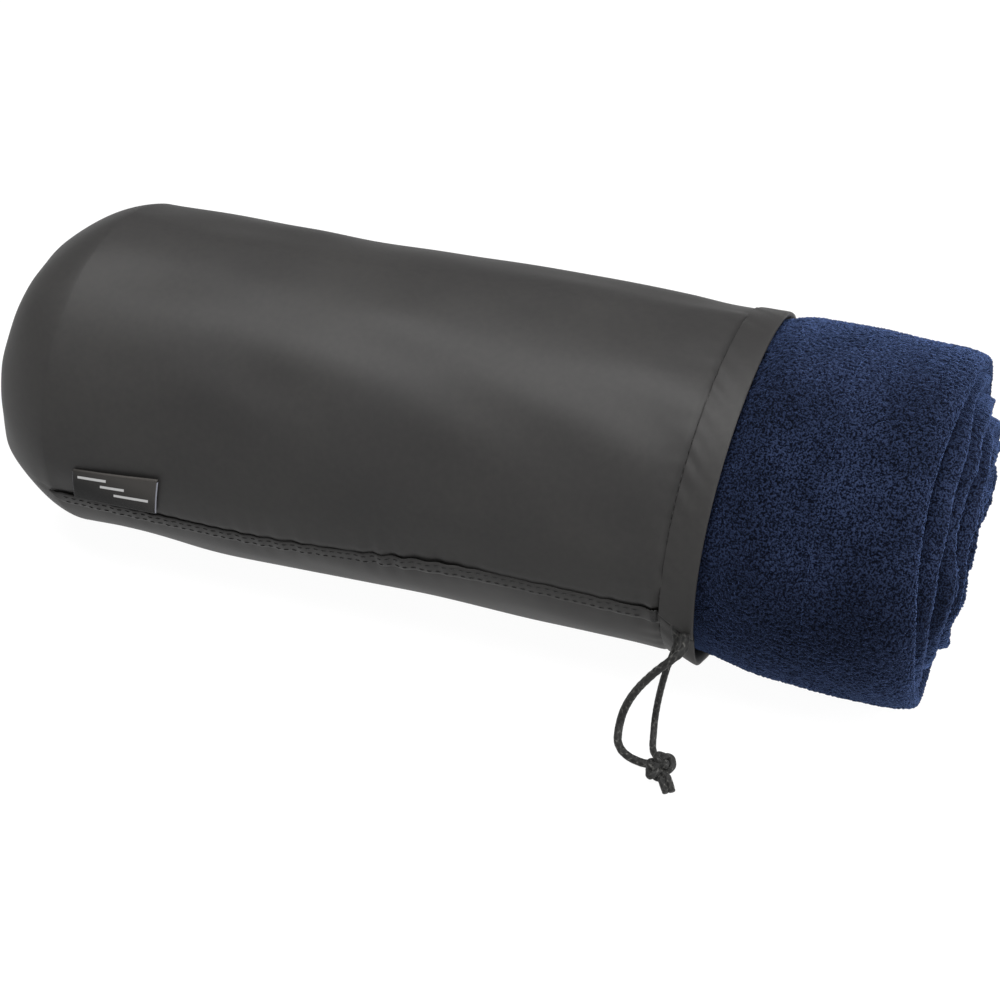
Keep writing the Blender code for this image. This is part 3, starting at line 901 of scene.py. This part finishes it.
def make_bar_tack():
    """A close zigzag of thread over the end of the seam, above the slit."""
    turns = 15
    t = np.linspace(0, 1, turns * 12)
    x = HEM_X - 0.0016 + 0.0011 * np.sin(2 * math.pi * turns * t)
    angle = seam_angle(HEM_X) + (0.0012 - 0.0068 * t) / POUCH_R
    path = on_pouch(x, angle, 0.00085 + 0.0002 * np.cos(4 * math.pi * turns * t))
    side, up = side_frames(path)
    turn = turn_round(7)[:, None]
    rings = path[:, None] + 0.00024 * (np.cos(turn) * side[:, None] + np.sin(turn) * up[:, None])
    tack = add_tube("exit_tack_threads", rings, *THREAD, lengths_along(path))
    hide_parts("exit_bar_tack")


def make_end_seam():
    """The closed end's seam: a low fin straight across it, a little wavy."""
    rows, columns = 120, 7
    reach = np.linspace(-1, 1, rows)[:, None] * (POUCH_R - 0.020)
    height = np.linspace(0, 1, columns)[None, :]
    share = np.interp(np.abs(reach[:, 0]), *reversed_profile())[:, None]
    x = pouch_profile(share)[0]
    wave = swell((rows, 1), (0.001, 1), (0.012, 1), 31)
    x = x - END_TILT * np.cos(SEAM_ANGLE_END - END_TILT_ANGLE) * reach / POUCH_R - 0.0010 - 0.0022 * height
    y = -reach * math.cos(SEAM_ANGLE_END) + 0.0006 * wave * height
    z = AXIS_Z + reach * math.sin(SEAM_ANGLE_END) + 0.0009 * wave * height
    face = np.stack(np.broadcast_arrays(x, y, z), axis=-1)
    seam = add_slab("closed_end_seam", face, 0.0009, *CLOTH,
                    np.linspace(0, 0.090, rows), np.linspace(0, 0.0022, columns))
    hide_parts("end_seam")


def reversed_profile():
    """Radii along the closed end and the profile's shares at them, for looking up a share by its radius."""
    shares = np.linspace(0, TURN_SHARE, 200)
    return pouch_profile(shares)[1] * POUCH_R, shares


# ------------ towel

def wrap_radius(turns):
    """The spiral's outside after this many turns: round, with a step up in each that the core spreads."""
    whole = np.clip(np.floor(turns), 0, WRAPS - 1)
    ease = 1.0 + (0.22 - 1.0) * whole / (WRAPS - 1)
    return TOWEL_R - WRAP_PITCH * (WRAPS - whole - smoothstep((turns - whole) / ease))


def towel_swell(x, angle):
    """The roll's size over its size in the pouch: it springs open past the mouth, soonest at the top."""
    spring = smoothstep(x, MOUTH_X - 0.008, MOUTH_X + 0.020 - 0.006 * np.sin(angle))
    return (1 + (0.0052 * spring - 0.0006) / TOWEL_R) * side_share(x - 0.0075)


def towel_angle(turns):
    """The angle round the roll after this many turns, which end at the outer hem."""
    return LAP_EDGE_ANGLE - 2 * math.pi * (WRAPS - turns)


def end_reach(turns):
    """x of each wrap's fold at the mouth's end: the outer wrap is drawn back, and the next stand proud."""
    inward = WRAPS - np.asarray(turns, float)
    wraps_in = [0, 0.95, 1.0, 1.33, 2.33, 3.33, 4.33, 5.5, 8]
    stand = np.interp(inward, wraps_in, [-2.0, -2.0, 2.8, 4.2, 8.2, 11.4, 13.2, 12.8, 9.5])
    low_side = np.clip(-np.sin(towel_angle(turns)) - 0.05, 0, 1)
    stand = stand - 5.0 * np.clip(inward - 1, 0, 1) * low_side
    wander = 0.5 * np.sin(2.1 * inward + 0.6) + 0.3 * np.sin(5.3 * inward + 2.0)
    return ROLL_HIGH.x - 0.0055 + 0.001 * (stand + wander)


def towel_shell(x, turns, depth):
    """Points of the roll at this depth under a wrap's outside."""
    angle = towel_angle(turns)
    return round_roll(x, wrap_radius(turns) * towel_swell(x, angle) - depth, angle, TOWEL_REST_R)


def make_towel_sheet():
    """The cloth itself: folded in three across its width, then rolled up along its length."""
    first = (CORE_R - float(wrap_radius(np.array(0.0)))) / WRAP_PITCH
    rows = 430
    turns = first + (WRAPS - 0.012 - first) * np.linspace(0, 1, rows)[:, None]
    high = end_reach(turns) - 0.0040
    low = TOWEL_BACK_X + 0.0020 + 0 * turns
    ends = np.array([0.0, 0.004, 0.010, 0.03, 0.08, 0.16, 0.3, 0.45, 0.6, 0.72, 0.84, 0.92, 0.97, 0.99, 1.0])
    fold = np.linspace(0, math.pi, 9)[1:-1]
    half = (PLY_DEPTHS[1] - PLY_DEPTHS[0]) / 2
    xs, depths = [], []
    for ply, middle in enumerate(PLY_DEPTHS):
        run = ends if ply % 2 == 0 else ends[::-1]
        xs.append(low + (high - low) * run)
        depths.append(np.full((1, len(run)), middle))
        if ply < 2:
            tip, way = (high, 1) if ply == 0 else (low, -1)
            xs.append(tip + way * half * np.sin(fold)[None, :])
            depths.append((middle + half - half * np.cos(fold))[None, :])
    x = np.hstack([np.broadcast_to(part, (rows, part.shape[1])) for part in xs])
    face = towel_shell(x, np.broadcast_to(turns, x.shape), np.broadcast_to(np.hstack(depths), x.shape))
    outer = face + grid_normals(face) * PLY_T / 2
    sheet = add_slab("towel_cloth", outer, PLY_T, *PILE,
                     np.linspace(0, TOWEL_CUT[1], rows), np.linspace(0, TOWEL_CUT[0], x.shape[1]))
    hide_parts("towel_roll")
    return sheet


def skin_section(low_x, high_x, step, folded):
    """(x, drop) along a skin: straight, then where folded over the wrap's soft end and back in."""
    if not folded:
        straight = np.arange(low_x, high_x, step)
        return straight, 0 * straight
    straight = np.arange(low_x, high_x - CORNER_X, step)
    bend = np.concatenate([np.linspace(0, 0.5, 34)[1:], np.linspace(0.5, 1, 14)[1:]]) * math.pi
    reach = np.where(bend > math.pi / 2, 0.0060, CORNER_X)
    x = np.concatenate([straight, high_x - reach * (1 - np.clip(np.sin(bend), 0, 1) ** 0.85)])
    return x, np.concatenate([0 * straight, CORNER_R * (1 - np.cos(bend))])


def side_skin(low_x, high_x, step, columns, seed, folded):
    """The outside of the outer wrap, raised into tufts, as points and the pile's height.

    Going round, the wrap rises by one pitch over the end of the wrap under it, and drops at its own hem.
    """
    x, drop = (value[:, None] for value in skin_section(low_x, high_x, step, folded))
    turns = np.linspace(0, 1, columns, endpoint=False)[None, :]
    angle = LAP_EDGE_ANGLE + 2 * math.pi * turns
    shape = (len(x), columns)
    steps = (step, 2 * math.pi * TOWEL_R / columns)
    slow = np.clip(swell(shape, steps, (0.045, 0.05), 77), -1.6, 1.6)
    tufts = grain(shape, steps, (0.0018, 0.0019), seed, 0.4)
    lumps = grain(shape, steps, (0.0042, 0.0048), seed + 1, 0.5)
    height = np.clip(0.5 + 0.24 * tufts + 0.10 * lumps, 0, 1)
    radius = (TOWEL_R - WRAP_PITCH * (1 - smoothstep(turns / 0.22))) * towel_swell(x, angle) - drop
    radius = radius + 0.0003 * slow * smoothstep(x, MOUTH_X, MOUTH_X + 0.02)
    off_front = np.mod(angle - math.radians(45) + math.pi, 2 * math.pi) - math.pi
    set_back = 0.0067 * bell(off_front, 0.80) * smoothstep(x, MOUTH_X + 0.03, high_x)
    points = round_roll(x - set_back, radius, angle, TOWEL_REST_R)
    return points + 0.0008 * height[..., None] * grid_normals(points, True), height


def add_skin(name, points, height):
    """A closed band: this grid outside, and a few plain rows that run back to its start inside the roll."""
    share = np.linspace(0, 1, 8)[:, None, None]
    under = points - 0.0022 * from_axis(points)
    hidden = under[-1] + (under[0] - under[-1]) * share
    grid = np.vstack([points, hidden])
    index = grid_index(len(grid), points.shape[1], True, True)
    heights = np.vstack([height, np.full(hidden.shape[:2], 0.4)])
    return add_piece(name, grid, quads_of(index), *PILE, None, {"pile": heights})


def make_end_skin(name, rows, front, seed):
    """The pile at one end of the roll: all along the spiral, a round fold beside a lower edge."""
    turns = 0.35 + (WRAPS - 1.33) * np.linspace(0, 1, rows)[:, None]
    across = np.concatenate([np.linspace(0, 0.64, 13), np.linspace(0.68, 1.0, 7)])[None, :]
    fold = np.sqrt(np.clip(1 - ((across - 0.32) / 0.34) ** 2, 0, 1))
    edge = np.sqrt(np.clip(1 - ((across - 0.84) / 0.18) ** 2, 0, 1))
    wander = swell((rows, 1), (0.0008, 1), (0.022, 1), seed + 5)
    hollow = smoothstep(grain((rows, 1), (0.0008, 1), (0.045, 1), seed + 6), 0.9, 1.9)
    stand = np.maximum(fold, (0.76 + 0.12 * wander) * edge)
    way = 1 if front else -1
    tip = end_reach(turns) if front else TOWEL_BACK_X + 0 * turns
    groove = np.where(across < 0.32, 0.0085, 0.0046 + 0.0050 * hollow)
    x = tip - way * groove * (1 - stand) + 0.0006 * wander
    depth = 0.0002 + across * (WRAP_PITCH - 0.0002) + 0 * x
    x = np.hstack([x, tip - way * 0.013 + np.zeros((1, 2))])
    depth = np.hstack([depth, np.broadcast_to([[WRAP_PITCH - 0.0012, 0.0014]], (rows, 2))])
    points = towel_shell(x, np.broadcast_to(turns, x.shape), depth)
    height = np.clip(0.5 + 0.25 * grain(x.shape, (0.0008, 0.0006), (0.0019, 0.0021), seed, 0.4), 0, 1)
    lift = 0.0009 * height
    lift[:, -2:] = 0
    points = points - way * lift[..., None] * grid_normals(points, True)
    return add_tube(name, points, *PILE, np.linspace(0, 1.8, rows), {"pile": height})


def make_core_plug():
    """The towel's inmost end, a short rolled nub that fills the roll's eye."""
    rows, columns = 60, 24
    share = np.linspace(0, 1, rows)[:, None]
    turn = turn_round(columns)[None, :]
    x = TOWEL_BACK_X + 0.004 + share * (ROLL_HIGH.x - 0.010 - TOWEL_BACK_X)
    radius = (CORE_R + 0.001) * np.sqrt(np.clip(1 - (2 * share - 1) ** 12, 0, 1)) + 0.0004
    points = round_roll(x, radius + 0 * turn, turn + 0 * x)
    height = np.full(points.shape[:2], 0.4)
    return add_tube("towel_core", points, *PILE, x[:, 0], {"pile": height})


def make_towel_hem():
    """The hem at the towel's outer end: a flat turned edge along the roll, sewn down with one row."""
    rows, columns = 260, 20
    x = np.linspace(TOWEL_BACK_X + 0.010, OUTER_TIP_X - 0.012, rows)[:, None]
    turn = turn_round(columns)[None, :]
    angle = LAP_EDGE_ANGLE + (0.0026 * np.cos(turn) - 0.0010) / TOWEL_R
    radius = TOWEL_R * towel_swell(x, angle) - 0.0020 + 0.0018 * np.sin(turn)
    points = round_roll(x, radius, angle, TOWEL_REST_R)
    tufts = grain(points.shape[:2], (0.0013, 0.0006), (0.003, 0.002), 91, 0.4)
    hem = add_tube("towel_end_hem", points, *PILE, x[:, 0],
                   {"pile": np.clip(0.35 + 0.2 * tufts, 0, 1)})
    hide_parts("towel_hem")
    return hem


def make_towel():
    """The rolled cloth, and the pile on every side of it that shows."""
    sheet = make_towel_sheet()
    points, height = side_skin(MOUTH_X - 0.012, OUTER_TIP_X, PILE_STEP, 742, 41, True)
    split = len(points) // 2
    pieces = [
        add_skin("pile_side_near_mouth", points[:split], height[:split]),
        add_skin("pile_side_outer", points[split - 1:], height[split - 1:]),
        add_skin("pile_side_inside_pouch", *side_skin(TOWEL_BACK_X, MOUTH_X - 0.011, 0.0013, 330, 51, False)),
        make_end_skin("pile_end_front", 2200, True, 61),
        make_end_skin("pile_end_back", 1000, False, 71),
        make_core_plug(),
        make_towel_hem(),
    ]


# ------------ label

def make_label():
    """A ribbon folded over at its top, both ends caught in the side seam, standing a little off the pouch."""
    rows, columns = 60, 60
    width = LABEL_HIGH.x - LABEL_LOW.x
    fold = 0.0005
    length = 2 * LABEL_TALL + math.pi * fold
    s = np.linspace(0, length, columns)[None, :]
    bend = np.clip((s - LABEL_TALL) / fold, 0, math.pi)
    up = np.minimum(s, length - s)
    up = np.where(bend % math.pi > 0, LABEL_TALL + fold * np.sin(bend), up)
    off = fold * np.cos(bend)
    u = np.linspace(0, 1, rows)[:, None]
    rise = up / LABEL_TALL
    angle = seam_angle(LABEL_LOW.x) + (0.0008 + 0.0018 * u + up * (0.885 + 0.115 * u)) / POUCH_R
    curl = 0.0009 + 0.0006 * rise**2 + 0.0003 * np.sin(math.pi * u) * rise
    radius = pouch_radius(LABEL_LOW.x, angle) + curl + off
    x = LABEL_LOW.x + 0.0007 + u * (width - 0.0020) + (0.0033 + 0.0013 * u) * rise
    along = np.linspace(0, width, rows)
    bend_angles = seam_angle(LABEL_LOW.x) + np.array(LABEL_BEND) / POUCH_R
    bent = ("pouch", "label", *round_roll(LABEL_LOW.x + 0 * bend_angles, POUCH_R, bend_angles))
    face = round_roll(x, radius, angle)
    label = add_slab("label_ribbon", face, 0.00022, SATIN, bent, "label_satin", along, s[0])
    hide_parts("side_label")
    half = columns // 2 - 2
    lining = round_roll(x + 0.00035 * (2 * u - 0.6), radius - off + 0.00022, angle)[:, :half]
    add_slab("label_lining", lining, 0.0003, REVERSE, bent, "label_satin", along, s[0][:half])


# ------------ the whole

make_camera()
make_studio()
make_cord()
make_channel_cord()
POUCH = make_pouch_body()
HEM = make_mouth_hem()
LAP = make_seam_lap()
make_stitching()
make_bar_tack()
make_end_seam()
make_towel()
make_label()
